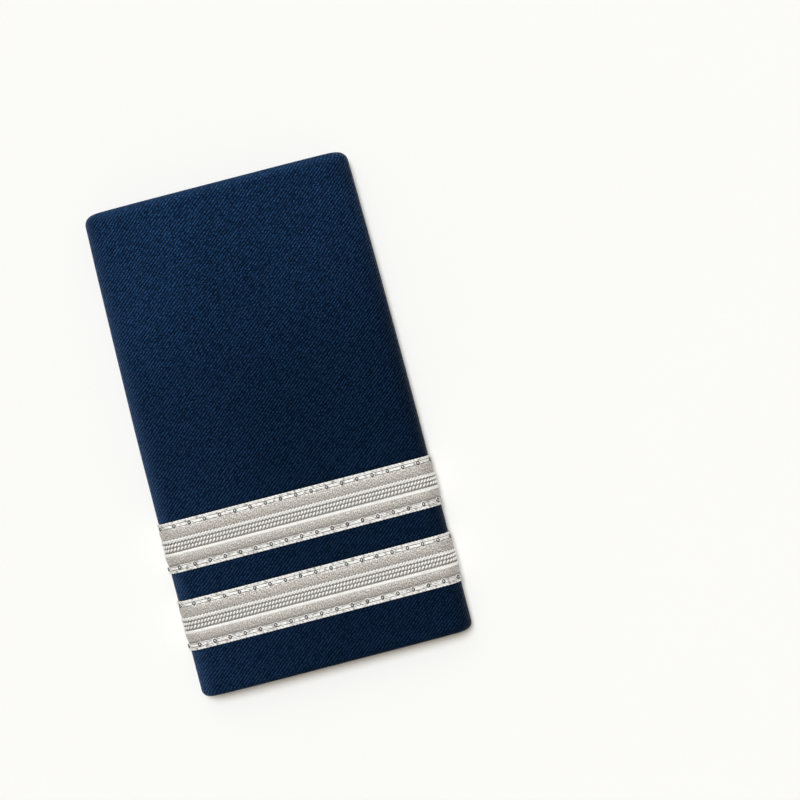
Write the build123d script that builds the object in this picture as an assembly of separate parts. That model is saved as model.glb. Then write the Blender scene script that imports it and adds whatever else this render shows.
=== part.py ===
from build123d import *
from math import atan2, ceil, cos, degrees, floor, radians, sin, sqrt
import os

# Rank slide: a flat cloth sleeve, open at both ends, with two lengths of woven lace braid round it.
# Sizes are millimetres. X runs across the slide, +Y towards its plain end and Z up. The slide lies
# on Z = 0 with its front face up, and the origin is on that plane, under the middle of the slide.

# Sleeve
slide_length = 106.2          # from the braided end to the plain end
slide_width = 60.0            # across the braided part
plain_end_width = 58.2        # across the plain end, to which the sides curve in
slide_height = 7.1            # of the sleeve as it lies
front_crown = 0.5             # how far the front rises above its two side folds
flat_front_width = 28.0       # of the level middle of the front, between its sloping shoulders
cloth_wall = 1.2              # turned cloth and its stiffening together
plain_corner_radius = 2.0     # corners seen from above, at the plain end
braided_corner_radius = 1.6   # corners seen from above, at the braided end
rim_roll_radius = 0.9         # the rims' outer edge, where the cloth turns in
mouth_round_radius = 0.4      # the rims' inner edge
mouth_side_narrowing = 1.5    # of the passage at each side, where the folds close in at a rim
mouth_depth = 4.0             # along the slide, over which the passage narrows

# Braids
braid_width = 10.85           # along the slide
braid_spacing = 6.1           # of bare cloth between the two braids
braid_end_margin = 10.55      # of bare cloth below the lower braid
braid_sink = 0.4              # how deep a braid beds into the cloth
braid_relief = 0.45           # from the cloth to the top of a braid's highest cord
fit_gap = 0.05                # between a braid and its bed, on every side
border_round_radius = 0.12    # along a braid's two edges

# Eyelets along the braids' borders
eyelet_diameter = 0.6
eyelet_depth = 0.3
eyelet_pitch = 3.35
eyelet_row_shift = 1.0        # across the slide, by which the two rows of a braid are out of step
eyelet_side_margin = 2.4      # left free of eyelets at each side of the slide

# A braid's rows, from its lower edge up: where each starts and ends as shares of the braid's
# width, its top as a share of the relief, and whether it is a round cord or a flat band
# row, start, end, top, round
BRAID_ROWS = (
    ("lower border", 0.000, 0.150, 0.62, False),
    ("lower plain", 0.150, 0.320, 0.45, False),
    ("lower cord", 0.320, 0.402, 1.00, True),
    ("lower twist", 0.415, 0.490, 0.82, True),
    ("upper twist", 0.500, 0.575, 0.82, True),
    ("upper cord", 0.587, 0.669, 1.00, True),
    ("upper plain", 0.669, 0.835, 0.45, False),
    ("upper border", 0.835, 1.000, 0.62, False),
)
BORDER_ROWS = ("lower border", "upper border")
GROUND_TOP = 0.35             # of the relief, the band that the cords lie on

# The sections where the sides curve in, as shares of the way from the upper braid to the plain end
NARROWING_SECTIONS = (0.0, 0.25, 0.5, 0.75)
MOUTH_ROUND_TURNS = (0, 30, 60, 90)   # degrees along the quarter round, where it has sections

# Places along the slide
braided_end = -slide_length / 2
plain_end = slide_length / 2
lower_braid_start = braided_end + braid_end_margin
upper_braid_start = lower_braid_start + braid_width + braid_spacing
upper_braid_end = upper_braid_start + braid_width
narrowing_start = upper_braid_end + fit_gap
mid_height = slide_height / 2
fold_radius = (slide_height - front_crown) / 2
widest = max(slide_width, plain_end_width)


def shoulder_radius(fold_place):
    """Of the arc from the level front down to a side fold, which it meets smoothly."""
    reach = fold_place - flat_front_width / 2
    return (reach ** 2 + front_crown ** 2) / (2 * front_crown) + fold_radius


def way_round(width, inset, place):
    """Once round the sleeve's section, clockwise from the middle of its front.

    The underside is level, the side folds are half round, and the front is level in the middle
    and slopes to the folds in two wide arcs. The inset is measured square to the cloth.
    """
    fold_place = width / 2 - fold_radius
    flat = flat_front_width / 2
    wide = shoulder_radius(fold_place)
    tilt = degrees(atan2(wide - slide_height + fold_radius, fold_place - flat))
    top, low = slide_height - inset, inset
    fold, shoulder = fold_radius - inset, wide - inset
    across = Plane(origin=(0, place, 0), x_dir=(1, 0, 0), z_dir=(0, -1, 0))
    lines = (
        Line((0, top), (flat, top)),
        CenterArc((flat, slide_height - wide), shoulder, 90, tilt - 90),
        CenterArc((fold_place, fold_radius), fold, tilt, -90 - tilt),
        Line((fold_place, low), (-fold_place, low)),
        CenterArc((-fold_place, fold_radius), fold, 270, -90 - tilt),
        CenterArc((-flat, slide_height - wide), shoulder, 180 - tilt, tilt - 90),
        Line((-flat, top), (0, top)),
    )
    return Wire([across * line for line in lines])


def tube(sections):
    """A straight-sided solid through sections of the sleeve, given as (width, inset, place)."""
    return loft([make_face(way_round(*section)) for section in sections], ruled=True)


def place_at(share):
    """The place along the slide at a share of its narrowing part."""
    return narrowing_start + (plain_end - narrowing_start) * share


def width_at(share):
    """The sleeve's width at a share of its narrowing part: the sides leave the braids straight
    and curve in more and more towards the plain end."""
    return slide_width + (plain_end_width - slide_width) * share ** 2


def plan_form():
    """The outline seen from above, with rounded corners, as tall as the slide."""
    side = [(slide_width / 2, braided_end)]
    side += [(width_at(share) / 2, place_at(share)) for share in NARROWING_SECTIONS]
    side += [(plain_end_width / 2, plain_end)]
    other_side = [(-across, place) for across, place in reversed(side)]
    outline = make_face(Polyline(side + other_side, close=True))
    low = outline.vertices().group_by(Axis.Y)[0]
    outline = fillet(low, braided_corner_radius)
    high = outline.vertices().group_by(Axis.Y)[-1]
    return extrude(fillet(high, plain_corner_radius), slide_height)


def side_form():
    """The outline seen from the side, whose four corners are the rolled rims."""
    side = Plane(origin=(0, 0, mid_height), x_dir=(0, 1, 0), z_dir=(1, 0, 0))
    return extrude(side * RectangleRounded(slide_length, slide_height, rim_roll_radius),
                   widest / 2, both=True)


def mouth(width, rim, inward):
    """Sections of the passage at a rim, from the passage out: its edge is a quarter round."""
    sections = []
    for turn in MOUTH_ROUND_TURNS:
        drawn_in = mouth_round_radius * (1 - sin(radians(turn)))
        flare = mouth_round_radius * (1 - cos(radians(turn)))
        sections.append((width, cloth_wall - flare, rim + inward * drawn_in))
    return sections


def passage():
    """The way through the sleeve for a shoulder strap, a little narrower at its two mouths."""
    last = 1 - mouth_depth / (plain_end - narrowing_start)
    shares = [share for share in NARROWING_SECTIONS if share < last] + [last]
    braided_mouth = mouth(slide_width - 2 * mouth_side_narrowing, braided_end, 1)
    plain_mouth = mouth(plain_end_width - 2 * mouth_side_narrowing, plain_end, -1)
    return tube(
        braided_mouth[::-1]
        + [(slide_width, cloth_wall, braided_end + mouth_depth)]
        + [(width_at(share), cloth_wall, place_at(share)) for share in shares]
        + plain_mouth)


def braid_bed(start):
    """What is taken off the sleeve all round, so that a braid beds into it."""
    length = braid_width + 2 * fit_gap
    middle = start + braid_width / 2
    depth = braid_sink + fit_gap
    around = Pos(0, middle, mid_height) * Box(slide_width + depth, length, slide_height + depth)
    kept = tube((
        (slide_width, depth, middle - length),
        (slide_width, depth, middle + length),
    ))
    return around - kept


def sleeve():
    """The cloth sleeve, open from end to end."""
    body = tube(
        [(slide_width, 0, braided_end)]
        + [(width_at(share), 0, place_at(share)) for share in NARROWING_SECTIONS]
        + [(plain_end_width, 0, plain_end)])
    body = body & plan_form() & side_form()
    body -= passage()
    for start in (lower_braid_start, upper_braid_start):
        body -= braid_bed(start)
    return body


def braid_profile(start):
    """A braid cut across, standing on the front face: its ground, bands and cords as one face."""
    across = Plane(origin=(0, start, slide_height), x_dir=(0, 1, 0), z_dir=(1, 0, 0))
    ground = GROUND_TOP * braid_relief
    from_below = Pos(0, -braid_sink)
    face = from_below * Rectangle(braid_width, braid_sink + ground, align=Align.MIN)
    for _, low, high, top, is_round in BRAID_ROWS:
        middle = (low + high) / 2 * braid_width
        width = (high - low) * braid_width
        height = top * braid_relief
        if is_round:
            face += Pos(middle, ground / 2) * Ellipse(width / 2, height - ground / 2)
        else:
            face += Pos(middle, height / 2) * Rectangle(width, height)
    face &= from_below * Rectangle(braid_width, braid_sink + 2 * braid_relief, align=Align.MIN)
    corners = face.vertices().filter_by(lambda corner: corner.Y > 0).sort_by(Axis.X)
    return across * fillet([corners[0], corners[-1]], border_round_radius)


def front_height(across):
    """Of the cloth's front face, at a place across the braided part."""
    fold_place = slide_width / 2 - fold_radius
    if abs(across) > fold_place:
        return fold_radius + sqrt(fold_radius ** 2 - (abs(across) - fold_place) ** 2)
    wide = shoulder_radius(fold_place)
    beyond = max(0, abs(across) - flat_front_width / 2)
    return slide_height - wide + sqrt(wide ** 2 - beyond ** 2)


def eyelets(start):
    """The small eyelets along the two borders of a braid, on its front face."""
    half = slide_width / 2 - eyelet_side_margin
    holes = []
    for name, low, high, top, _ in BRAID_ROWS:
        if name not in BORDER_ROWS:
            continue
        shift = eyelet_row_shift * (BORDER_ROWS.index(name) - 0.5)
        first = ceil((-half - shift) / eyelet_pitch)
        last = floor((half - shift) / eyelet_pitch)
        place = start + (low + high) / 2 * braid_width
        for index in range(first, last + 1):
            across = index * eyelet_pitch + shift
            lift = front_height(across) + top * braid_relief
            holes.append(Pos(across, place, lift) * Cylinder(eyelet_diameter / 2, 2 * eyelet_depth))
    return holes


def braid(start):
    """One length of braid round the sleeve, pressed flat where the slide lies on it."""
    band = sweep(braid_profile(start), path=way_round(slide_width, 0, start))
    floor_cut = Pos(0, start + braid_width / 2, -slide_height / 2)
    band -= floor_cut * Box(2 * slide_width, 2 * braid_width, slide_height)
    return band - eyelets(start)


os.makedirs("parts", exist_ok=True)
export_step(sleeve(), "parts/sleeve.step")
export_step(braid(upper_braid_start), "parts/upper_braid.step")
export_step(braid(lower_braid_start), "parts/lower_braid.step")
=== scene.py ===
from collections import namedtuple
from math import acos, atan2, copysign, cos, exp, floor, hypot, pi, radians, sin, sqrt, tau

import bpy
from bpy.props import FloatProperty, FloatVectorProperty, PointerProperty
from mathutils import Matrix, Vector, noise


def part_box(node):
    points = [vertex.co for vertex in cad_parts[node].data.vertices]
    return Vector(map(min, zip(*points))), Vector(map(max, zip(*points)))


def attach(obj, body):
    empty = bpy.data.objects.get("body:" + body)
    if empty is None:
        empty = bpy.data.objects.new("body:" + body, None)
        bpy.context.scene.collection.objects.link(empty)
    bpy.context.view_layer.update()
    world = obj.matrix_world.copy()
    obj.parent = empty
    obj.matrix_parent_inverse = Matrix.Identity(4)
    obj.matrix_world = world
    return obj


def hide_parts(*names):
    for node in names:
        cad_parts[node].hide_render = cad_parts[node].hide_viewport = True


bl_info = {
    "name": "Rank Slide",
    "version": (1, 0, 0),
    "blender": (4, 5, 0),
    "location": "View3D > Sidebar > Rank Slide",
    "description": "Makes a navy cloth rank slide with two silver lace braids",
    "category": "Mesh",
}

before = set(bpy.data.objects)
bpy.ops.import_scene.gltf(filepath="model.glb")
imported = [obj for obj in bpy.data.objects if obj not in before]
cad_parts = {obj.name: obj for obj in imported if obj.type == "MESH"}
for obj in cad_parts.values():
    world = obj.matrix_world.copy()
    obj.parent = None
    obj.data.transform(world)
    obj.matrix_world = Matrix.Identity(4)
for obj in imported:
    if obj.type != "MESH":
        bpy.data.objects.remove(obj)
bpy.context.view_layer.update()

MM = 0.001
DOUBLES = 0.001 * MM   # points nearer than this are one
SLEEVE_LOW, SLEEVE_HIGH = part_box("sleeve")
BRAID_NODES = ("upper_braid", "lower_braid")


def length(name, description, millimetres):
    """A size that a user may change."""
    return FloatProperty(name=name, description=description, default=millimetres * MM,
                         min=0.0, precision=5, subtype="DISTANCE", unit="LENGTH")


def share(name, description, default):
    """A share from nothing to all that a user may change."""
    return FloatProperty(name=name, description=description, default=default,
                         min=0.0, max=1.0, subtype="FACTOR")


def colour(name, description, red, green, blue):
    """A colour that a user may change, given as a screen shows it, from 0 to 255."""
    return FloatVectorProperty(name=name, description=description, size=3, min=0.0, max=1.0,
                               subtype="COLOR", default=linear(red, green, blue))


def angle(name, description, degrees):
    """An angle that a user may change."""
    return FloatProperty(name=name, description=description, default=radians(degrees),
                         subtype="ANGLE", unit="ROTATION")


def strength(name, description, default):
    """A light's strength that a user may change."""
    return FloatProperty(name=name, description=description, default=default, min=0.0)


def linear(*screen):
    """A screen colour, from 0 to 255, as the linear colour that shaders take."""
    shares = [value / 255 for value in screen]
    return [s / 12.92 if s <= 0.04045 else ((s + 0.055) / 1.055) ** 2.4 for s in shares]


class SleeveSettings(bpy.types.PropertyGroup):
    """Sizes and colours of the cloth sleeve."""

    plain_end_width: length("Plain end", "Width of the end without braids", 58.2)
    front_crown: length("Front crown", "Rise of the front above its side folds", 0.5)
    flat_front: length("Level front", "Width of the front's level middle", 28.0)
    wall: length("Wall", "Thickness of the turned cloth at the hems", 1.2)
    inner_wall: length("Inner wall", "Thickness of the cloth past the hems", 0.95)
    hem_depth: length("Hem", "Depth of cloth turned in at each mouth", 9.0)
    rim_roll: length("Rim roll", "Reach of the round of each rim", 0.9)
    rim_lip: length("Rim lip", "How deep the rim's outer edge rolls in", 0.78)
    plain_corner: length("Plain corner", "Radius of the corners at the plain end", 2.0)
    braided_corner: length("Braided corner", "Radius of the corners at the braided end", 1.6)
    mouth_narrowing: length("Mouth narrowing", "How far each fold closes in at a mouth", 1.5)
    mouth_depth: length("Mouth depth", "Stretch over which a mouth closes in", 4.0)
    seam_width: length("Seam", "Half width of the seam on the underside", 0.5)
    seam_depth: length("Seam depth", "Depth of the seam on the underside", 0.3)
    unevenness: length("Unevenness", "How far the cloth strays from level", 0.09)
    unevenness_reach: length("Unevenness reach", "Length of one rise and fall", 22.0)
    wale_pitch: length("Wale pitch", "From one diagonal wale to the next", 0.59)
    wale_lean: angle("Wale lean", "Angle of the wales to the braids", 40)
    float_length: length("Float length", "Length of a yarn's run along a wale", 1.1)
    ridge_colour: colour("Wale", "Colour on top of the wales", 20, 35, 53)
    # Painted gloss: wales painted paler toward the plain end and the left fold, where the light's
    # gloss falls
    painted_gloss_colour: colour("Glossy wale", "Colour of wales that are rubbed pale", 34, 60, 93)
    # Painted light: the paler colour along the left fold and the plain rim, which face the light
    painted_edge_light_colour: colour("Worn edge", "Colour along the most worn fold and rim", 42, 68, 104)
    valley_colour: colour("Between wales", "Colour between the wales", 0, 0, 5)
    gloss_colour: colour("Gloss", "Colour of the wool's own soft gloss", 60, 155, 255)
    # Painted light: how far in from the left fold and from the plain rim the cloth is painted
    # paler
    painted_light_fold_reach: length("Lit fold", "Reach of the paler cloth in from the worn fold", 4.6)
    painted_light_rim_reach: length("Lit rim", "Reach of the paler cloth in from the worn rim", 2.6)


class BraidSettings(bpy.types.PropertyGroup):
    """Sizes and colours of the lace braids."""

    sink: length("Sink", "How deep a braid beds into the cloth", 0.4)
    bed_gap: length("Bed gap", "Between a braid and its bed", 0.05)
    pressed: share("Pressed", "Share of its thickness left on the underside", 0.44)
    end_gap: length("End gap", "From each cut end to the seam", 0.2)
    thread_stop: length("Thread ends", "From each thread's end to the cut end", 0.05)
    cord_pitch: length("Cord pitch", "One turn of a strand in the upper cord", 1.47)
    fine_cord_pitch: length("Fine cord pitch", "One turn of a strand in the lower cord", 2.5)
    edge_cord_pitch: length("Edge cord pitch", "One turn of a strand in the edge cords", 1.46)
    upper_bead_pitch: length("Upper beads", "From one slanted bead to the next", 0.712)
    lower_bead_pitch: length("Lower beads", "From one slanted bead to the next", 0.783)
    eyelet_pitch: length("Eyelet pitch", "From one eyelet to the next", 3.35)
    eyelet_step: length("Eyelet step", "By which the two rows are out of step", 1.0)
    thread_colour: colour("Silver", "Colour of the bright threads", 250, 248, 244)
    # Painted shade low down between threads; the tarnish spots take this colour too
    thread_side_colour: colour("Thread sides", "Colour low down between threads", 156, 151, 144)
    band_colour: colour("Bands", "Colour of the matt plain bands", 196, 190, 183)
    # Painted shade: the darker silver of the ground in the gaps between threads
    painted_shade_ground_colour: colour("Ground", "Colour of the ground between threads", 144, 139, 133)
    # Painted shade: the dark rings stand in for the shade in each eyelet's opening
    eyelet_shade_colour: colour("Eyelets", "Colour of the rings round the eyelets", 60, 58, 55)


class StageSettings(bpy.types.PropertyGroup):
    """The floor, the light and the camera."""

    floor_size: length("Floor", "Side of the square floor", 24000.0)
    floor_colour: colour("Floor colour", "Colour of the pale floor", 243, 242, 239)
    light_turn: angle("Light turn", "Of the lights, left of the picture's top", 25)
    key_strength: strength("Key", "Strength of the main light", 2.63)
    key_tilt: angle("Key tilt", "Of the main light, from straight up", 17.5)
    key_spread: angle("Key spread", "How wide the main light looks from the slide", 24)
    key_colour: colour("Key colour", "Colour of the main light", 232, 242, 255)
    top_strength: strength("Top light", "Strength of the light overhead", 0.75)
    top_tilt: angle("Top tilt", "Of the light overhead, from straight up", 7)
    top_spread: angle("Top spread", "How wide the light overhead looks from the slide", 28)
    top_colour: colour("Top colour", "Colour of the light overhead", 255, 232, 190)
    side_strength: strength("Side light", "Strength of the wide light from the side", 0.36)
    side_tilt: angle("Side tilt", "Of the side light, from straight up", 34)
    side_spread: angle("Side spread", "How wide the side light looks from the slide", 60)
    side_colour: colour("Side colour", "Colour of the side light", 255, 250, 240)
    fill_colour: colour("Fill colour", "Colour of the soft light all round", 255, 246, 232)
    fill_strength: strength("Fill", "Strength of the light all round", 0.09)
    horizon_strength: strength("Horizon", "Strength of the pale light low down all round", 0.8)
    lens: FloatProperty(name="Lens", description="Focal length", default=70.0, min=1.0,
                        unit="CAMERA")
    camera_turn: angle("Turn", "Of the picture about the slide", -14.53)
    camera_across: length("Across", "Camera's place across the slide", 27.0)
    camera_along: FloatProperty(name="Along", description="Camera's place along the slide",
                                default=-1.8 * MM, precision=5, unit="LENGTH")
    camera_height: length("Height", "Camera's height above the floor", 338.1)


def sleeve_settings():
    return bpy.context.scene.rank_slide_sleeve


def braid_settings():
    return bpy.context.scene.rank_slide_braid


def stage_settings():
    return bpy.context.scene.rank_slide_stage


# Handling of objects

def pick(*objects):
    """Selects these objects alone and makes the first one active."""
    bpy.ops.object.select_all(action="DESELECT")
    for item in objects:
        item.select_set(True)
    bpy.context.view_layer.objects.active = objects[0]


def named(name):
    """The object just added, under its own name, with its place put into its mesh."""
    item = bpy.context.object
    item.name = name
    item.data.name = name
    bpy.ops.object.transform_apply(location=True, rotation=True, scale=True)
    return item


def finish_modifiers(item):
    """Applies all of an object's modifiers in their order."""
    pick(item)
    for modifier in list(item.modifiers):
        bpy.ops.object.modifier_apply(modifier=modifier.name)


def joined(name, parts):
    """Several objects made into one."""
    pick(*parts)
    bpy.ops.object.join()
    return named(name)


def copied(item, name):
    """A copy with a mesh of its own."""
    copy = item.copy()
    copy.data = item.data.copy()
    copy.name = name
    copy.data.name = name
    bpy.context.scene.collection.objects.link(copy)
    return copy


def closed_up(item):
    """Merges doubles, fills open ends and turns the faces outwards."""
    pick(item)
    bpy.ops.object.mode_set(mode="EDIT")
    bpy.ops.mesh.select_all(action="SELECT")
    bpy.ops.mesh.remove_doubles(threshold=DOUBLES)
    bpy.ops.mesh.select_all(action="SELECT")
    bpy.ops.mesh.fill_holes(sides=0)
    bpy.ops.mesh.select_all(action="SELECT")
    bpy.ops.mesh.normals_make_consistent(inside=False)
    bpy.ops.object.mode_set(mode="OBJECT")


def grid_of(name, columns, lines):
    """A flat grid, and the column and line of each of its points."""
    bpy.ops.object.select_all(action="DESELECT")
    bpy.ops.mesh.primitive_grid_add(x_subdivisions=columns - 1, y_subdivisions=lines - 1,
                                    size=1.0)
    grid = named(name)
    return grid, [(round((vertex.co.x + 0.5) * (columns - 1)),
                   round((vertex.co.y + 0.5) * (lines - 1))) for vertex in grid.data.vertices]


def smoothed(item):
    """Closes a piece up and smooths it once."""
    closed_up(item)
    smooth = item.modifiers.new("Smooth", "SUBSURF")
    smooth.levels = smooth.render_levels = 1
    finish_modifiers(item)


def dressed(item, material, node):
    """Gives a finished piece its material and its body, and hides the part it stands for, if any.
    """
    item.data.materials.clear()
    item.data.materials.append(material)
    pick(item)
    bpy.ops.object.shade_smooth()
    if node:
        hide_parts(node)
    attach(item, "root")
    return item


# The way round the sleeve's section

Section = namedtuple("Section", "low high flat fold fold_place shoulder tilt")


def section_of(half, low, high):
    """The section with that half width between two heights: a level front, two sloping
    shoulders, two round folds and a level underside."""
    crown = sleeve_settings().front_crown
    flat = sleeve_settings().flat_front / 2
    fold = (high - low - crown) / 2
    fold_place = half - fold
    reach = fold_place - flat
    shoulder = (reach ** 2 + crown ** 2) / (2 * crown) + fold
    tilt = atan2(shoulder - (high - low) + fold, reach)
    return Section(low, high, flat, fold, fold_place, shoulder, tilt)


def stretches(section):
    """Lengths of half the way round: level front, shoulder, fold and underside."""
    return (section.flat,
            section.shoulder * (pi / 2 - section.tilt),
            section.fold * (section.tilt + pi / 2),
            section.fold_place)


def half_way():
    """Length of half the way round the braided part."""
    return sum(stretches(braided_section()))


def braided_section():
    """The section where the braids are."""
    return section_of(SLEEVE_HIGH.x, SLEEVE_LOW.z, SLEEVE_HIGH.z)


def point_round(section, distance, measure=None):
    """Point and outward direction (x, z, across, up) on a section, at a distance from the
    front's middle that is measured round another section, or round this one."""
    side = 1 if distance >= 0 else -1
    left = abs(distance)
    own, measured = stretches(section), stretches(measure or section)
    last = len(own) - 1
    for index, (real, stated) in enumerate(zip(own, measured)):
        if left <= stated or index == last:
            break
        left -= stated
    way = left / stated * real
    if index == 0:
        x, z, across, up = way, section.high, 0.0, 1.0
    elif index == 1:
        turn = pi / 2 - way / section.shoulder
        across, up = cos(turn), sin(turn)
        x = section.flat + section.shoulder * across
        z = section.high - section.shoulder + section.shoulder * up
    elif index == 2:
        turn = section.tilt - way / section.fold
        across, up = cos(turn), sin(turn)
        x = section.fold_place + section.fold * across
        z = section.low + section.fold + section.fold * up
    else:
        x, z, across, up = section.fold_place - way, section.low, 0.0, -1.0
    return side * x, z, side * across, up


# How far up the cloth faces where it starts to stray from level, and how much more frees it
LEVEL_FACING, FREEING = -0.6, 0.9
# A finer unevenness on top of the first: its share and its scale
FINE_SHARE, FINE_SCALE = 0.4, 2.6


def unevenness(x, y, z, up):
    """How far the cloth strays outwards at a place. The underside stays level."""
    settings = sleeve_settings()
    free = min(1.0, max(0.0, (up - LEVEL_FACING) / FREEING))
    place = Vector((x, y, z)) / settings.unevenness_reach
    wave = noise.noise(place) + FINE_SHARE * noise.noise(place * FINE_SCALE)
    return settings.unevenness * free * wave


# The cloth sleeve

Row = namedtuple("Row", "place half inset outer")

# Steps between the mesh's rows: beside a bed, where the even rows start, and along the outer face
BED_STEP, BED_REACH, OUTER_STEP = 0.07 * MM, 0.8 * MM, 2.0 * MM
# Inside: where the rows start, then in the mouth, along the hem and in the rest of the passage
INNER_START, MOUTH_STEP, HEM_STEP, PASSAGE_STEP = 1.0 * MM, 0.6 * MM, 1.5 * MM, 3.6 * MM
HEM_EDGE = (-0.4, -0.12, 0.12, 0.4)   # millimetres in from the hem's edge
# Degrees round a rim's outer edge, and from there into the passage
RIM_TURNS = (0, 15, 30, 45, 60, 75, 90)
LIP_TURNS = (30, 60, 90)
# Steps between columns: level front, shoulder, fold, underside. Then shares of the seam
COLUMN_STEPS = (1.75 * MM, 1.6 * MM, 0.8 * MM, 2.0 * MM)
SEAM_COLUMNS = (1, 0.6, 0.25, 0)


def spread(start, end, step):
    """Even steps of about that length from a start up to, but without, an end."""
    count = max(1, round(abs(end - start) / step))
    return [start + (end - start) * index / count for index in range(count)]


def straight_half(place):
    """Half width of the sleeve at a place along it, without its corners."""
    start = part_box("upper_braid")[1].y + braid_settings().bed_gap
    end = SLEEVE_HIGH.y
    if place <= start:
        return SLEEVE_HIGH.x
    along = (place - start) / (end - start)
    return SLEEVE_HIGH.x + (sleeve_settings().plain_end_width / 2 - SLEEVE_HIGH.x) * along ** 2


def rounded(distance, radius):
    """How far a round edge of that radius falls back at a distance from its end."""
    if distance >= radius:
        return 0.0
    return radius - sqrt(max(0.0, radius ** 2 - (radius - distance) ** 2))


def outer_rows():
    """Rows of the outer face from the braided end to the plain end, with the braids' beds."""
    gap = braid_settings().bed_gap
    stops = [SLEEVE_LOW.y + sleeve_settings().braided_corner]
    for node in reversed(BRAID_NODES):
        stops += [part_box(node)[0].y - gap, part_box(node)[1].y + gap]
    stops.append(SLEEVE_HIGH.y - sleeve_settings().plain_corner)
    rows = []
    inside = False
    for start, end in zip(stops, stops[1:]):
        level = braid_settings().sink + gap if inside else 0.0
        run = [start + BED_STEP, start + 5 * BED_STEP]
        run += spread(start + BED_REACH, end - BED_REACH, OUTER_STEP)
        run += [end - BED_REACH, end - 5 * BED_STEP, end - BED_STEP]
        rows += [Row(place, straight_half(place) - level, level, 1.0) for place in run]
        inside = not inside
    return rows


def rim_rows(end, inward, corner):
    """Rows round a rim, from the outer face to the passage."""
    settings = sleeve_settings()
    rows = []
    straight = straight_half(end)
    for turn in RIM_TURNS:
        back = corner * (1 - sin(radians(turn)))
        roll = rounded(back, settings.rim_roll) * settings.rim_lip / settings.rim_roll
        rows.append(Row(end + inward * back, straight_half(end + inward * back)
                        - rounded(back, corner), roll, 1.0))
    rim = rows[-1]
    lip = settings.wall - settings.rim_lip
    mouth_half = straight - settings.mouth_narrowing - settings.wall
    for turn in LIP_TURNS:
        deep = sin(radians(turn))
        back = lip * (1 - cos(radians(turn)))
        rows.append(Row(end + inward * back, rim.half + (mouth_half - rim.half) * deep,
                        settings.rim_lip + lip * deep, 1.0 - deep))
    return rows


def inner_rows(end, inward):
    """Rows of the passage, from a mouth in to the sleeve's middle."""
    settings = sleeve_settings()
    backs = spread(INNER_START, settings.mouth_depth, MOUTH_STEP)
    backs += spread(settings.mouth_depth, settings.hem_depth + HEM_EDGE[0] * MM, HEM_STEP)
    backs += [settings.hem_depth + shift * MM for shift in HEM_EDGE]
    backs += spread(settings.hem_depth + HEM_STEP, abs(end), PASSAGE_STEP)
    rows = []
    for back in backs:
        wall = settings.wall if back < settings.hem_depth else settings.inner_wall
        closing = max(0.0, 1 - back / settings.mouth_depth)
        closing = settings.mouth_narrowing * closing ** 2 * (3 - 2 * closing)
        place = end + inward * back
        rows.append(Row(place, straight_half(place) - wall - closing, wall, 0.0))
    return rows


def sleeve_rows():
    """All rows of the cloth, from the middle of the passage out round the braided end, over
    the outer face, and round the plain end back into the passage."""
    settings = sleeve_settings()
    low, high = SLEEVE_LOW.y, SLEEVE_HIGH.y
    rows = inner_rows(low, 1)[::-1] + rim_rows(low, 1, settings.braided_corner)[::-1]
    rows += outer_rows()
    rows += rim_rows(high, -1, settings.plain_corner) + inner_rows(high, -1)
    middle = Row(0.0, straight_half(0.0) - settings.inner_wall, settings.inner_wall, 0.0)
    return [middle] + rows + [middle]


def sleeve_columns():
    """Distances round the section from the front's middle, where the cloth has its columns."""
    seam = sleeve_settings().seam_width
    stops = [0.0]
    for stretch in stretches(braided_section()):
        stops.append(stops[-1] + stretch)
    end = stops[-1]
    stops[-1] = end - seam
    half = []
    for start, stop, step in zip(stops, stops[1:], COLUMN_STEPS):
        half += spread(start, stop, step)
    half += [end - part * seam for part in SEAM_COLUMNS]
    return [-distance for distance in reversed(half[1:])] + half


def seam_dip(distance):
    """Depth of the seam on the underside at a distance round the section."""
    settings = sleeve_settings()
    off = (half_way() - abs(distance)) / settings.seam_width
    return settings.seam_depth * max(0.0, 1 - off) ** 1.5


def make_sleeve():
    """The sleeve: a flat blank of cloth, folded round and turned in at both mouths."""
    rows, columns = sleeve_rows(), sleeve_columns()
    sleeve, grid = grid_of("sleeve_cloth", len(columns), len(rows))
    measure = braided_section()
    dips = [seam_dip(distance) for distance in columns]
    places, runs, run = [], [], 0.0
    last = rows[0]
    for row in rows:
        section = section_of(row.half, SLEEVE_LOW.z + row.inset, SLEEVE_HIGH.z - row.inset)
        run += hypot(row.place - last.place, row.inset - last.inset)
        last = row
        runs.append(run)
        line = []
        for distance, dip in zip(columns, dips):
            x, z, across, up = point_round(section, distance, measure)
            out = unevenness(x, row.place, z, up) - dip * row.outer
            line.append((x + across * out, row.place, z + up * out))
        places.append(line)
    for vertex, (column, line) in zip(sleeve.data.vertices, grid):
        vertex.co = places[line][column]
    cloth = sleeve.data.uv_layers[0]
    cloth.name = "cloth"
    for loop in sleeve.data.loops:
        column, line = grid[loop.vertex_index]
        cloth.data[loop.index].uv = (columns[column] / MM, runs[line] / MM)
    smoothed(sleeve)
    return dressed(sleeve, twill_material(), "sleeve")


# The braids

# They are modelled flat: X runs round the slide, Y over the braid's width and Z up from the cloth.
# They are wrapped round the sleeve last.

# Middles of a braid's rows, and its plain bands, from its lower edge, as shares of its width
LOWER_CORD, LOWER_BEADS, UPPER_BEADS, UPPER_CORD = 0.3595, 0.4535, 0.534, 0.626
PLAIN_BANDS = ((0.164, 0.335), (0.655, 0.862))
CORD_GROUND = (0.40, 0.495, 0.59)
# Middles of the eyelets, in from a braid's edge
UPPER_EYELETS, LOWER_EYELETS = 1.00 * MM, 1.06 * MM

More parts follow.
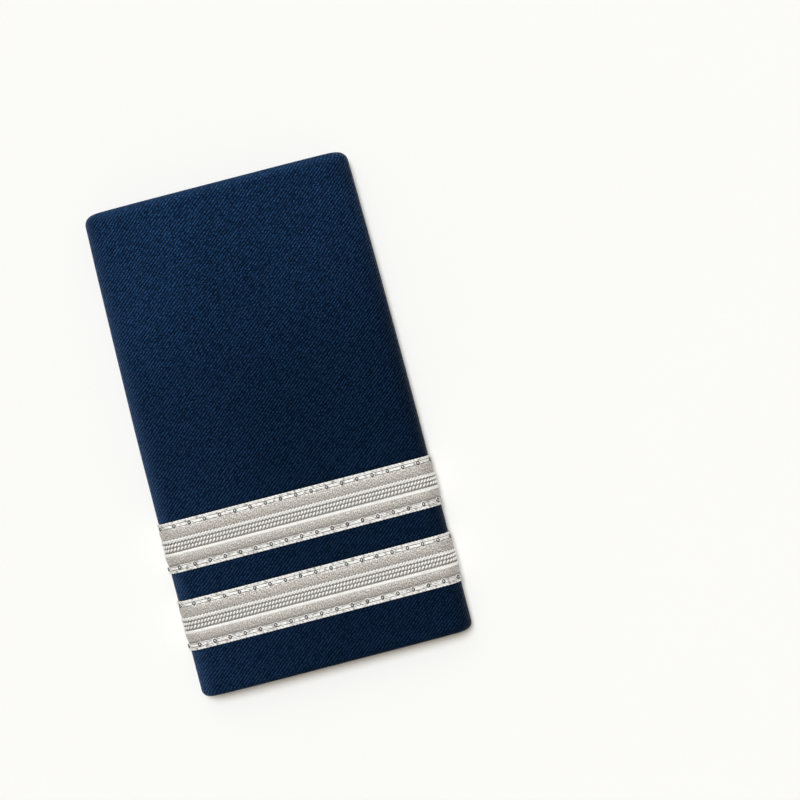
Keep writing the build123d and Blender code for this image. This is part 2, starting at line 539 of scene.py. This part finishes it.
# Heights above the cloth
BORDER_TOP, GROUND_TOP, BRAID_FLOOR = 0.12 * MM, 0.08 * MM, -0.30 * MM
EDGE_ROUND = 0.10 * MM   # of the ground's two edges
BAND_FOOT = 0.12 * MM    # from a plain band to the level ground
GROUND_END, GROUND_STEP = 0.3 * MM, 1.0 * MM   # its mesh's last step and the even ones
# A plain band over its width, from its lower edge: share of the width, millimetres of height
BAND_LINE = ((0.0, 0.03), (0.05, 0.075), (0.13, 0.13), (0.25, 0.195), (0.40, 0.25),
             (0.56, 0.285), (0.72, 0.30), (0.87, 0.295), (0.96, 0.27), (1.0, 0.22))


def braid_width():
    low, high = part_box("lower_braid")
    return high.y - low.y


def braid_reach():
    """From the front's middle to each cut end of a braid."""
    return half_way() - braid_settings().end_gap


def ground_profile():
    """Points (over the width, height) round a braid's ground, from its lower edge over the top."""
    width = braid_width()
    points = [(0.0, BORDER_TOP - EDGE_ROUND), (0.3 * EDGE_ROUND, BORDER_TOP - 0.3 * EDGE_ROUND),
              (EDGE_ROUND, BORDER_TOP)]
    for low, high in PLAIN_BANDS:
        low, high = low * width, high * width
        points.append((low - BAND_FOOT, GROUND_TOP))
        points += [(low + (high - low) * across, rise * MM) for across, rise in BAND_LINE]
        points.append((high + BAND_FOOT, GROUND_TOP))
        if low < width / 2:
            points += [(width * at, GROUND_TOP) for at in CORD_GROUND]
    points += [(width - x, z) for x, z in reversed(points[:3])]
    return points + [(width * at, BRAID_FLOOR) for at in (1.0, 0.75, 0.5, 0.25, 0.0)]


def make_ground():
    """The woven ground of a braid with its two plain bands, closed all round."""
    profile = ground_profile()
    reach = braid_reach()
    columns = [-reach] + spread(-reach + GROUND_END, reach - GROUND_END, GROUND_STEP)
    columns += [reach - GROUND_END, reach]
    ground, grid = grid_of("ground", len(columns), len(profile) + 1)
    for vertex, (column, line) in zip(ground.data.vertices, grid):
        over, height = profile[line % len(profile)]
        vertex.co = (columns[column], over, height)
    smoothed(ground)
    return ground


def strand_of(name, radius, offset, turn, pitch, sides, steps):
    """A round strand all along the braid, straight, or wound at an offset round the cord's
    middle, with the pitch fitted to the braid. A pitch below nothing winds it the other way."""
    reach = braid_reach() - braid_settings().thread_stop
    turns = round(2 * reach / abs(pitch))
    bpy.ops.object.select_all(action="DESELECT")
    bpy.ops.mesh.primitive_circle_add(
        vertices=sides, radius=radius, rotation=(0.0, pi / 2, 0.0),
        location=(-reach, offset * cos(turn), offset * sin(turn)))
    strand = named(name)
    twist = strand.modifiers.new("Twist", "SCREW")
    twist.axis = "X"
    twist.angle = copysign(tau, pitch) if offset else 0.0
    twist.screw_offset = 2 * reach / turns
    twist.iterations = turns
    twist.steps = twist.render_steps = steps
    finish_modifiers(strand)
    return strand


# A cord: its strands, their radius, how far they lie from its middle, that middle's height, how
# flat it is pressed, and the sides of a strand's mesh
Cord = namedtuple("Cord", "strands radius offset rise flatten sides")
UPPER_STRANDS = Cord(2, 0.265 * MM, 0.235 * MM, 0.27 * MM, 0.34, 6)
LOWER_STRANDS = Cord(4, 0.22 * MM, 0.27 * MM, 0.24 * MM, 0.40, 6)
EDGE_STRANDS = Cord(2, 0.15 * MM, 0.08 * MM, 0.22 * MM, 0.60, 5)
EDGE_CORD = 0.17 * MM   # its middle, in from a braid's edge
CORD_STEPS = 10         # of a strand's mesh in one turn


def twisted_cord(name, over, cord, pitch):
    """A cord of strands twisted round each other, lying along the braid."""
    piece = joined(name, [strand_of(f"{name}_strand", cord.radius, cord.offset,
                                    tau * index / cord.strands, pitch, cord.sides, CORD_STEPS)
                          for index in range(cord.strands)])
    closed_up(piece)
    for vertex in piece.data.vertices:
        x, y, z = vertex.co
        vertex.co = (x, y + over, z * cord.flatten + cord.rise)
    return piece


def run_of(shape, count, pitch, shift, over, rise):
    """A row of copies of one small shape along the braid, in its middle but for a shift."""
    row = shape.modifiers.new("Row", "ARRAY")
    row.use_relative_offset = False
    row.use_constant_offset = True
    row.constant_offset_displace = (pitch, 0.0, 0.0)
    row.count = count
    finish_modifiers(shape)
    first = -(count - 1) * pitch / 2 + shift
    for vertex in shape.data.vertices:
        vertex.co.x += first
        vertex.co.y += over
        vertex.co.z += rise
    return shape


BEAD_HALF = (0.52 * MM, 0.250 * MM, 0.25 * MM)   # of its length, width and height
BEAD_BROADENING = 0.24                           # towards one end, as a share
BEAD_SLANT = radians(44)
BEAD_RISE = 0.17 * MM


def bead_row(name, over, pitch):
    """A row of slanted beads."""
    reach = braid_reach() - pitch / 2
    count = floor(2 * reach / pitch)
    bpy.ops.object.select_all(action="DESELECT")
    bpy.ops.mesh.primitive_uv_sphere_add(segments=8, ring_count=6, radius=1.0,
                                         rotation=(0.0, pi / 2, 0.0))
    bead = named(name)
    for vertex in bead.data.vertices:
        broader = 1.0 + BEAD_BROADENING * vertex.co.x
        vertex.co.y *= broader
        vertex.co.z *= broader
    bpy.ops.transform.resize(value=BEAD_HALF)
    bpy.ops.transform.rotate(value=-BEAD_SLANT, orient_axis="Z", center_override=(0, 0, 0))
    bpy.ops.object.transform_apply(location=True, rotation=True, scale=True)
    return run_of(bead, count, pitch, 0.0, over, BEAD_RISE)


# Threads of a border in millimetres: distance from the braid's edge, rise, radius, and how far
# they sway aside at an eyelet
UPPER_THREADS = ((0.47, 0.15, 0.140, -0.05), (0.86, 0.18, 0.160, -0.18),
                 (1.13, 0.17, 0.150, 0.32), (1.51, 0.10, 0.135, 0.02))
LOWER_THREADS = ((0.47, 0.12, 0.135, -0.05), (0.84, 0.15, 0.145, -0.16),
                 (1.13, 0.16, 0.145, 0.32), (1.42, 0.08, 0.135, 0.14))
THREAD_SIDES, THREAD_STEPS = 6, 24   # of a thread's mesh: round it, and in one eyelet pitch
# How far a thread strays by itself and over what length, in millimetres
STRAY, STRAY_REACH = 0.07, 0.8
# Where the threads' straying is read from: from one to the next, and for the upper borders
WANDER_STEP, UPPER_WANDER = 3.7, 11.0
# The opening at an eyelet: half its length as a share of the pitch, and how flat its sides are
OPENING_SHARE, OPENING_FLATNESS = 0.10, 4


def parting(distance, shift):
    """1 at an eyelet's middle and 0 away from it, at a distance along a border."""
    pitch = braid_settings().eyelet_pitch
    off = (distance - shift + pitch / 2) % pitch - pitch / 2
    return exp(-(off / (OPENING_SHARE * pitch)) ** OPENING_FLATNESS)


def stray(x, wander, other):
    """How far a thread strays to a side, or up, at a place along it."""
    return noise.noise(Vector((x / (STRAY_REACH * MM), wander, other))) * STRAY * MM


def border_thread(name, over, rise, radius, sway, shift, wander):
    """A thread along a border that sways aside at each eyelet."""
    pitch = braid_settings().eyelet_pitch
    thread = strand_of(name, radius, 0.0, 0.0, pitch, THREAD_SIDES, THREAD_STEPS)
    closed_up(thread)
    for vertex in thread.data.vertices:
        x, y, z = vertex.co
        vertex.co = (x, y + over + sway * parting(x, shift) + stray(x, wander, 0.0),
                     z + rise + stray(x, wander, 5.0))
    return thread


def border_parts(name, flip, shift):
    """Edge cord and threads of a braid's border, measured in from the braid's edge. The
    threads lie side by side and part round the eyelets."""
    edge, side = (braid_width(), -1) if flip else (0.0, 1)
    threads = UPPER_THREADS if flip else LOWER_THREADS
    parts = [twisted_cord(f"{name}_edge", edge + side * EDGE_CORD, EDGE_STRANDS,
                          -braid_settings().edge_cord_pitch)]
    for index, (at, rise, radius, sway) in enumerate(threads):
        parts.append(border_thread(f"{name}_thread_{index}", edge + side * at * MM, rise * MM,
                                   radius * MM, side * sway * MM, shift,
                                   index * WANDER_STEP + (UPPER_WANDER if flip else 0.0)))
    return parts


# The dark rings round the eyelets are painted shade: they stand in for the shade in each opening.
RING_RADII = (0.33 * MM, 0.095 * MM)   # of the ring and of its thread
KNOT_RADIUS = 0.20 * MM
# How a ring and a knot are stretched, and how high they lie
RING_STRETCH, RING_RISE = (0.82, 1.16, 1.0), 0.35 * MM
KNOT_STRETCH, KNOT_RISE = (0.8, 1.25, 0.8), 0.26 * MM


def eyelet_row(name, over, shift, ring):
    """The rings round a row of eyelets, or the small knots in their middles."""
    pitch = braid_settings().eyelet_pitch
    count = 2 * floor((braid_reach() - pitch / 2) / pitch) + 1
    bpy.ops.object.select_all(action="DESELECT")
    if ring:
        bpy.ops.mesh.primitive_torus_add(major_segments=14, minor_segments=6,
                                         major_radius=RING_RADII[0], minor_radius=RING_RADII[1])
    else:
        bpy.ops.mesh.primitive_uv_sphere_add(segments=8, ring_count=5, radius=KNOT_RADIUS)
    shape = named(name)
    bpy.ops.transform.resize(value=RING_STRETCH if ring else KNOT_STRETCH)
    bpy.ops.object.transform_apply(location=True, rotation=True, scale=True)
    return run_of(shape, count, pitch, shift, over, RING_RISE if ring else KNOT_RISE)


def flat_braid():
    """All parts of a braid, lying flat: its ground, cords, borders, and eyelets."""
    settings = braid_settings()
    width = braid_width()
    step = settings.eyelet_step / 2
    cords = [
        twisted_cord("upper_cord", UPPER_CORD * width, UPPER_STRANDS, -settings.cord_pitch),
        twisted_cord("lower_cord", LOWER_CORD * width, LOWER_STRANDS, -settings.fine_cord_pitch),
        bead_row("upper_beads", UPPER_BEADS * width, settings.upper_bead_pitch),
        bead_row("lower_beads", LOWER_BEADS * width, settings.lower_bead_pitch),
    ]
    borders = border_parts("upper", True, step) + border_parts("lower", False, -step)
    rings = [eyelet_row("upper_rings", width - UPPER_EYELETS, step, True),
             eyelet_row("lower_rings", LOWER_EYELETS, -step, True)]
    knots = [eyelet_row("upper_knots", width - UPPER_EYELETS, step, False),
             eyelet_row("lower_knots", LOWER_EYELETS, -step, False)]
    return {"ground": make_ground(), "cords": joined("cords", cords),
            "borders": joined("borders", borders + knots), "eyelets": joined("eyelets", rings)}


# Turns round a fold from the underside: where a braid starts to thicken, and over how much
THICKENING_START, THICKENING_REACH = radians(10), radians(60)


def thickness_left(up):
    """Share of a braid's thickness at a place round the section: it is pressed on the
    underside, and passes to its full thickness over the lower part of the folds."""
    pressed = braid_settings().pressed
    turn = acos(max(-1.0, min(1.0, -up)))
    free = min(1.0, max(0.0, (turn - THICKENING_START) / THICKENING_REACH))
    free = free * free * (3 - 2 * free)
    return pressed + (1 - pressed) * free


def wrap_round(item, start):
    """Bends a flat part of a braid round the sleeve. It keeps its flat places as a UV map, and
    its height above the cloth as an attribute."""
    section = braided_section()
    sink = braid_settings().sink
    mesh = item.data
    for layer in list(mesh.uv_layers):
        mesh.uv_layers.remove(layer)
    flat = mesh.uv_layers.new(name="flat")
    for loop in mesh.loops:
        place = mesh.vertices[loop.vertex_index].co
        flat.data[loop.index].uv = (place.x / MM, place.y / MM)
    rise = mesh.attributes.new("rise", "FLOAT", "POINT")
    for vertex in mesh.vertices:
        distance, over, height = vertex.co
        rise.data[vertex.index].value = height / MM
        x, z, across, up = point_round(section, distance)
        place = start + over
        out = unevenness(x, place, z, up)
        out += (height + sink) * thickness_left(up) - sink
        vertex.co = (x + across * out, place, z + up * out)


def make_braids():
    """Both braids, each from the same flat parts with meshes of its own."""
    flat = flat_braid()
    materials = {"ground": band_material(),
                 "cords": thread_material("silver_lace_cords", 0.10, 0.15, 0.37),
                 "borders": thread_material("silver_lace_borders", 0.80, 0.11, 0.26),
                 "eyelets": eyelet_material()}
    pieces = []
    for node in BRAID_NODES:
        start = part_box(node)[0].y
        for part, source in flat.items():
            piece = copied(source, f"{node}_{part}")
            wrap_round(piece, start)
            stands_for = node if part == "ground" else None
            pieces.append(dressed(piece, materials[part], stands_for))
    for source in flat.values():
        bpy.data.objects.remove(source)
    return pieces


# Materials

class Finish:
    """A material under making. Each call adds one node, links what it is given, and hands
    back the new node's output."""

    def __init__(self, name):
        self.material = bpy.data.materials.new(name)
        self.material.use_nodes = True
        self.tree = self.material.node_tree
        self.shader = self.tree.nodes["Principled BSDF"]

    def feed(self, socket, value):
        if isinstance(value, bpy.types.NodeSocket):
            self.tree.links.new(value, socket)
        elif socket.type == "RGBA":
            socket.default_value = (*value, 1.0)
        else:
            socket.default_value = value

    def node(self, kind, inputs, output=0, **settings):
        """A new node. Its inputs and output go by name or, where names repeat, by number."""
        node = self.tree.nodes.new(kind)
        for key, value in settings.items():
            setattr(node, key, value)
        for key, value in inputs.items():
            self.feed(node.inputs[key], value)
        return node.outputs[output]

    def surface(self, **inputs):
        """Sets the shader's own inputs, and hands back the finished material."""
        for key, value in inputs.items():
            self.feed(self.shader.inputs[key.replace("_", " ")], value)
        return self.material

    def math(self, operation, first, second=0.0, clamp=False):
        return self.node("ShaderNodeMath", {0: first, 1: second}, operation=operation,
                         use_clamp=clamp)

    def times(self, first, second, clamp=False):
        return self.math("MULTIPLY", first, second, clamp)

    def between(self, value, low, high):
        """0 up to a low value, 1 from a high one, and smooth between them."""
        return self.node("ShaderNodeMapRange", {"Value": value, "From Min": low, "From Max": high},
                         "Result", interpolation_type="SMOOTHSTEP")

    def scaled(self, value, low, high):
        """A value from 0 to 1, stretched to run from low to high."""
        return self.math("ADD", self.times(value, high - low), low)

    def mix(self, factor, first, second):
        """A colour between two. The node's sockets for colours are 6, 7 and 2."""
        return self.node("ShaderNodeMix", {0: factor, 6: first, 7: second}, 2, data_type="RGBA")

    def vector(self, x, y):
        return self.node("ShaderNodeCombineXYZ", {"X": x, "Y": y})

    def noise(self, vector, scale, detail=2.0, roughness=0.5):
        return self.node("ShaderNodeTexNoise", {"Vector": vector, "Scale": scale,
                                                "Detail": detail, "Roughness": roughness})

    def split(self, vector):
        return self.node("ShaderNodeSeparateXYZ", {0: vector}).node.outputs[:]

    def flat_places(self, name):
        """The two coordinates of a UV map, in millimetres."""
        return self.split(self.node("ShaderNodeUVMap", {}, uv_map=name))[:2]

    def object_places(self):
        """The coordinates of the object, in metres."""
        return self.node("ShaderNodeTexCoord", {}, "Object")

    def rise(self):
        """A braid's own attribute: height above the cloth, in millimetres."""
        return self.node("ShaderNodeAttribute", {}, "Fac", attribute_name="rise")

    def bump(self, height, depth, strength):
        return self.node("ShaderNodeBump", {"Strength": strength, "Distance": depth,
                                            "Height": height})


def twill_material():
    """Navy wool twill. Its wales run diagonally over the cloth, each a row of short floats."""
    settings = sleeve_settings()
    f = Finish("navy_twill")
    round_place, along = f.flat_places("cloth")
    pitch, run = settings.wale_pitch / MM, settings.float_length / MM
    lean = settings.wale_lean
    place = f.vector(round_place, along)
    wander = f.math("SUBTRACT", f.noise(place, 0.35, 3.0), 0.5)
    across = f.math("SUBTRACT", f.times(along, cos(lean) / pitch),
                    f.times(round_place, sin(lean) / pitch))
    across = f.math("ADD", across, f.times(wander, 0.9))
    down = f.math("ADD", f.times(round_place, cos(lean) / run), f.times(along, sin(lean) / run))
    wale = f.math("FLOOR", across)
    within = f.math("SUBTRACT", across, wale)
    ridge = f.math("POWER", f.math("SINE", f.times(within, pi)), 1.2)
    floats = f.between(f.noise(f.vector(down, f.times(wale, 7.31)), 1.6, 1.0), 0.34, 0.58)
    yarn = f.noise(f.vector(f.times(round_place, 3.0), f.times(along, 3.0)), 1.0, 2.0, 0.6)
    yarn = f.between(yarn, 0.33, 0.67)
    body = f.times(ridge, f.scaled(floats, 0.55, 1.0))
    body = f.times(body, f.scaled(yarn, 0.35, 1.3), clamp=True)
    # Painted gloss: the wales are painted paler toward the plain end and the left fold, where the
    # light's gloss falls, unevenly in random patches.
    patches = f.noise(place, 0.06, 3.0, 0.6)
    x, y, _ = f.split(f.object_places())
    glossed = f.math("ADD", f.times(f.between(y, 0.0, SLEEVE_HIGH.y), 0.75),
                    f.times(f.between(x, 0.005, SLEEVE_LOW.x), 0.5))
    glossed = f.times(glossed, f.scaled(patches, 0.5, 1.5), clamp=True)
    ridge_value = f.mix(glossed, settings.ridge_colour, settings.painted_gloss_colour)
    # Painted light: the left fold and the plain end's rim, which face the light, are painted
    # paler, wales and valleys alike.
    fold = f.between(x, SLEEVE_LOW.x + settings.painted_light_fold_reach, SLEEVE_LOW.x + 0.5 * MM)
    rim = f.between(y, SLEEVE_HIGH.y - settings.painted_light_rim_reach, SLEEVE_HIGH.y)
    lit = f.math("MAXIMUM", f.math("POWER", fold, 1.4), rim)
    ridge_value = f.mix(lit, ridge_value, settings.painted_edge_light_colour)
    deep = f.mix(lit, settings.valley_colour, settings.ridge_colour)
    return f.surface(
        Base_Color=f.mix(body, deep, ridge_value), Roughness=f.scaled(body, 0.95, 0.3),
        Specular_IOR_Level=0.15, Specular_Tint=settings.gloss_colour, Sheen_Weight=0.02,
        Sheen_Roughness=0.5, Sheen_Tint=settings.gloss_colour,
        Normal=f.bump(body, 0.12 * MM, 0.3))


BAND_BLUR = 0.06   # millimetres to each side of a plain band's edge


def band_material():
    """Matt silver weave of the plain bands, with a fine slanting grain over their width. The
    ground under cords and borders is darker as painted shade, and each band fades to it at its low
    foot as painted shade."""
    settings = braid_settings()
    width = braid_width() / MM
    f = Finish("silver_lace_bands")
    round_place, over = f.flat_places("flat")
    slanted = f.math("SUBTRACT", round_place, f.times(over, 0.32))
    grain = f.noise(f.vector(f.times(slanted, 5.4), f.times(over, 2.9)), 1.0, 2.0, 0.55)
    grain = f.between(grain, 0.38, 0.62)
    fine = f.noise(f.vector(f.times(slanted, 9.5), f.times(over, 5.5)), 1.0, 2.0, 0.6)
    weave = f.math("ADD", f.times(grain, 0.7), f.times(fine, 0.3))
    light = [min(1.0, value * 1.42) for value in settings.band_colour]
    dark = [value * 0.26 for value in settings.band_colour]
    band = f.mix(weave, dark, light)
    within = None
    for low, high in PLAIN_BANDS:
        low, high = low * width, high * width
        inside = f.times(f.between(over, low - BAND_BLUR, low + BAND_BLUR),
                         f.math("SUBTRACT", 1.0,
                                f.between(over, high - BAND_BLUR, high + BAND_BLUR)))
        within = inside if within is None else f.math("ADD", within, inside)
    # Painted shade: the ground between cords, beads and borders is darker than the bands, standing
    # in for the shade in those gaps.
    ground = f.mix(weave, [value * 0.6 for value in settings.painted_shade_ground_colour],
                   settings.painted_shade_ground_colour)
    # Painted shade: where a band lies low, at its foot, it fades to the darker ground colour.
    proud = f.between(f.rise(), -0.04, 0.14)
    return f.surface(
        Base_Color=f.mix(f.times(within, proud), ground, band), Metallic=0.25,
        Roughness=f.scaled(weave, 0.62, 0.46), Sheen_Weight=0.05,
        Normal=f.bump(weave, 0.05 * MM, 0.7))


def thread_material(name, dullest, low, high):
    """Bright silver thread: fine flat wire wound round a core. Its tarnish spots are that dull,
    from 0 to 1, and painted shade darkens it low down, lifting from the low rise to the high one,
    in millimetres."""
    settings = braid_settings()
    f = Finish(name)
    round_place, over = f.flat_places("flat")
    winding = f.noise(f.vector(f.times(f.math("SUBTRACT", round_place, over), 5.0),
                               f.times(over, 3.0)), 1.0, 3.0, 0.6)
    winding = f.between(winding, 0.28, 0.72)
    dull = [value * 0.97 for value in settings.thread_colour]
    bright = f.mix(winding, dull, settings.thread_colour)
    tarnish = f.between(f.noise(f.vector(round_place, over), 1.3, 1.0), 0.50, 0.70)
    bright = f.mix(f.times(tarnish, dullest), bright, settings.thread_side_colour)
    # Painted shade: the thread darkens to the shade colour low down, where it lies between other
    # threads.
    crest = f.between(f.rise(), low, high)
    return f.surface(
        Base_Color=f.mix(crest, settings.thread_side_colour, bright), Metallic=0.20,
        Roughness=f.scaled(winding, 0.54, 0.28), Normal=f.bump(winding, 0.04 * MM, 0.6))


def eyelet_material():
    """Dark grey rings round the eyelets: painted shade, standing in for the shade in each eyelet's
    opening.
    """
    settings = braid_settings()
    f = Finish("silver_lace_eyelets")
    round_place, over = f.flat_places("flat")
    mottle = f.noise(f.vector(round_place, over), 6.0, 2.0, 0.6)
    dark = [value * 0.6 for value in settings.eyelet_shade_colour]
    light = [min(1.0, value * 1.3) for value in settings.eyelet_shade_colour]
    return f.surface(Base_Color=f.mix(mottle, dark, light), Metallic=0.2, Roughness=0.6,
                     Normal=f.bump(mottle, 0.03 * MM, 0.5))


def floor_material():
    """Pale matt paper with the faintest mottling."""
    settings = stage_settings()
    f = Finish("pale_floor")
    mottle = f.noise(f.object_places(), 9.0, 4.0, 0.6)
    dark = [value * 0.985 for value in settings.floor_colour]
    return f.surface(Base_Color=f.mix(mottle, dark, settings.floor_colour), Roughness=0.95,
                     Specular_IOR_Level=0.1)


# The stage

# Between these heights above the horizon the studio's light turns from pale to dim
HORIZON_LOW, HORIZON_HIGH = radians(6), radians(16)


def make_floor():
    settings = stage_settings()
    bpy.ops.object.select_all(action="DESELECT")
    bpy.ops.mesh.primitive_plane_add(size=settings.floor_size)
    floor_piece = named("floor")
    bpy.ops.object.mode_set(mode="EDIT")
    bpy.ops.mesh.select_all(action="SELECT")
    bpy.ops.mesh.subdivide(number_cuts=3)
    bpy.ops.object.mode_set(mode="OBJECT")
    floor_piece.data.materials.append(floor_material())


def make_camera():
    """Straight above the slide, turned so that the slide leans as it was seen."""
    settings = stage_settings()
    bpy.ops.object.camera_add(
        location=(settings.camera_across, settings.camera_along, settings.camera_height),
        rotation=(0.0, 0.0, settings.camera_turn))
    camera = bpy.context.object
    camera.name = "camera"
    camera.data.lens = settings.lens
    camera.data.sensor_width = 36.0
    camera.data.clip_start = 1 * MM
    bpy.context.scene.camera = camera


def add_light(name, tilt, spread, power, tint):
    """A far, round, soft light that leans from straight up to the picture's upper left."""
    settings = stage_settings()
    turn = settings.camera_turn + settings.light_turn
    level = sin(tilt)
    toward = Vector((-sin(turn) * level, cos(turn) * level, cos(tilt)))
    bpy.ops.object.light_add(type="SUN", location=toward)
    light = bpy.context.object
    light.name = name
    light.rotation_mode = "QUATERNION"
    light.rotation_quaternion = toward.to_track_quat("Z", "Y")
    light.data.angle = spread
    light.data.energy = power
    light.data.color = tint


def make_lights():
    """A main light, a warmer one overhead, a wide faint one from the side, and the studio all
    round, dim above and pale low down."""
    settings = stage_settings()
    for name in ("key", "top", "side"):
        add_light(f"{name}_light", *(getattr(settings, f"{name}_{part}")
                                     for part in ("tilt", "spread", "strength", "colour")))
    world = bpy.data.worlds.new("soft_studio")
    world.use_nodes = True
    tree = world.node_tree
    fill = tree.nodes["Background"]
    fill.inputs["Color"].default_value = (*settings.fill_colour, 1.0)
    place = tree.nodes.new("ShaderNodeTexCoord")
    parts = tree.nodes.new("ShaderNodeSeparateXYZ")
    rise = tree.nodes.new("ShaderNodeMapRange")
    rise.interpolation_type = "SMOOTHSTEP"
    rise.inputs["From Min"].default_value = sin(HORIZON_LOW)
    rise.inputs["From Max"].default_value = sin(HORIZON_HIGH)
    rise.inputs["To Min"].default_value = settings.horizon_strength
    rise.inputs["To Max"].default_value = settings.fill_strength
    tree.links.new(place.outputs["Generated"], parts.inputs[0])
    tree.links.new(parts.outputs["Z"], rise.inputs["Value"])
    tree.links.new(rise.outputs["Result"], fill.inputs["Strength"])
    bpy.context.scene.world = world
    bpy.context.scene.view_settings.view_transform = "Standard"
    bpy.context.scene.view_settings.look = "None"


# Operators, panel and registration

class SLIDE_OT_make_sleeve(bpy.types.Operator):
    """Make the folded cloth sleeve"""

    bl_idname = "slide.make_sleeve"
    bl_label = "Make Sleeve"
    bl_options = {"REGISTER", "UNDO"}

    def execute(self, context):
        make_sleeve()
        return {"FINISHED"}


class SLIDE_OT_make_braids(bpy.types.Operator):
    """Make the two lace braids and sew them round the sleeve"""

    bl_idname = "slide.make_braids"
    bl_label = "Make Braids"
    bl_options = {"REGISTER", "UNDO"}

    def execute(self, context):
        sleeve = bpy.data.objects.get("sleeve_cloth")
        if sleeve is None:
            raise RuntimeError("Make the sleeve first: the braids lie on it")
        pieces = make_braids()
        return {"FINISHED"}


class SLIDE_OT_set_stage(bpy.types.Operator):
    """Set the floor, the lights and the camera"""

    bl_idname = "slide.set_stage"
    bl_label = "Set Stage"
    bl_options = {"REGISTER", "UNDO"}

    def execute(self, context):
        make_floor()
        make_lights()
        make_camera()
        return {"FINISHED"}


class SLIDE_PT_panel(bpy.types.Panel):
    """Lists the steps and the sizes in the sidebar"""

    bl_idname = "SLIDE_PT_panel"
    bl_label = "Rank Slide"
    bl_space_type = "VIEW_3D"
    bl_region_type = "UI"
    bl_category = "Rank Slide"

    def draw(self, context):
        steps = (
            (SLIDE_OT_make_sleeve, context.scene.rank_slide_sleeve),
            (SLIDE_OT_make_braids, context.scene.rank_slide_braid),
            (SLIDE_OT_set_stage, context.scene.rank_slide_stage),
        )
        for operator, settings in steps:
            box = self.layout.box()
            box.operator(operator.bl_idname)
            for name in settings.__annotations__:
                box.prop(settings, name)


CLASSES = (SleeveSettings, BraidSettings, StageSettings, SLIDE_OT_make_sleeve,
           SLIDE_OT_make_braids, SLIDE_OT_set_stage, SLIDE_PT_panel)
SETTINGS = {"rank_slide_sleeve": SleeveSettings, "rank_slide_braid": BraidSettings,
            "rank_slide_stage": StageSettings}


def register():
    for item in CLASSES:
        bpy.utils.register_class(item)
    for name, kind in SETTINGS.items():
        setattr(bpy.types.Scene, name, PointerProperty(type=kind))


def unregister():
    for name in SETTINGS:
        delattr(bpy.types.Scene, name)
    for item in reversed(CLASSES):
        bpy.utils.unregister_class(item)


def main():
    register()
    bpy.ops.slide.make_sleeve()
    bpy.ops.slide.make_braids()
    bpy.ops.slide.set_stage()


if __name__ == "__main__":
    main()
